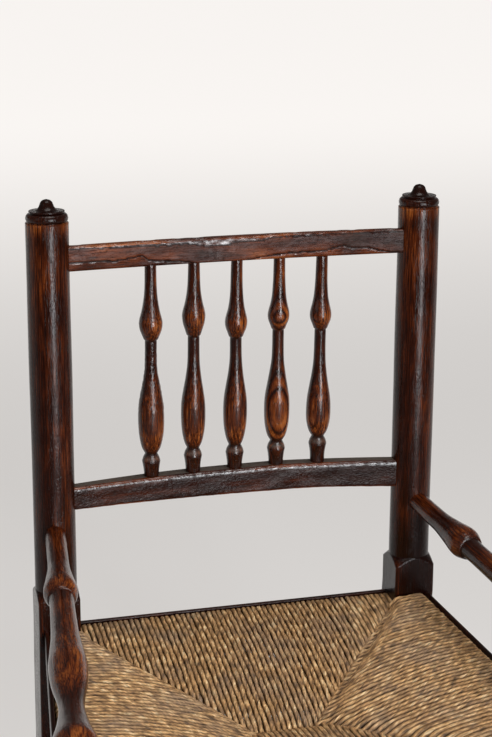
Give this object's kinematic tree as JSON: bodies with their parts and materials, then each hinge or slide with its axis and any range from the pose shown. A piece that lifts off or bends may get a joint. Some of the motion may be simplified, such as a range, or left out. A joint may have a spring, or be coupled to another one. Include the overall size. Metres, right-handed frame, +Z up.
{
  "type": "armchair",
  "caption": "Open wooden armchair with a turned spindle back, round turned arms and a woven rush seat, on turned front legs joined by stretchers.",
  "frame": {"origin": "on the floor, at the middle of the chair's box", "axes": "+Z up, +Y towards the back of the chair, +X towards the right of someone who faces its front"},
  "size_m": [0.588, 0.5373, 0.9271],
  "materials": {
    "dark_wood": "old waxed dark red-brown oak or ash, worn to orange-brown on the swells",
    "plain_wood": "plain unpolished wood hidden in the rush",
    "strip_wood": "dark stained, dull",
    "rush": "twisted dry rush, golden tan with brown and grey strands",
    "iron": "dark blued iron"
  },
  "bodies": {
    "root": {"back_post_left": "dark_wood", "back_post_right": "dark_wood", "front_post_left": "dark_wood", "front_post_right": "dark_wood", "arm_left": "dark_wood", "arm_right": "dark_wood", "top_rail": "dark_wood", "lower_back_rail": "dark_wood", "spindle_1": "dark_wood", "spindle_2": "dark_wood", "spindle_3": "dark_wood", "spindle_4": "dark_wood", "spindle_5": "dark_wood", "front_stretcher": "dark_wood", "back_stretcher": "dark_wood", "side_stretcher_left_upper": "dark_wood", "side_stretcher_left_lower": "dark_wood", "side_stretcher_right_upper": "dark_wood", "side_stretcher_right_lower": "dark_wood", "seat_rail_back": "plain_wood", "seat_rail_front": "plain_wood", "seat_rail_left": "plain_wood", "seat_rail_right": "plain_wood", "edge_strip_back": "strip_wood", "edge_strip_front": "strip_wood", "edge_strip_left": "strip_wood", "edge_strip_right": "strip_wood", "rush_panel_back": "rush", "rush_panel_front": "rush", "rush_panel_left": "rush", "rush_panel_right": "rush", "edge_strip_nails": "iron"}
  },
  "joints": []
}
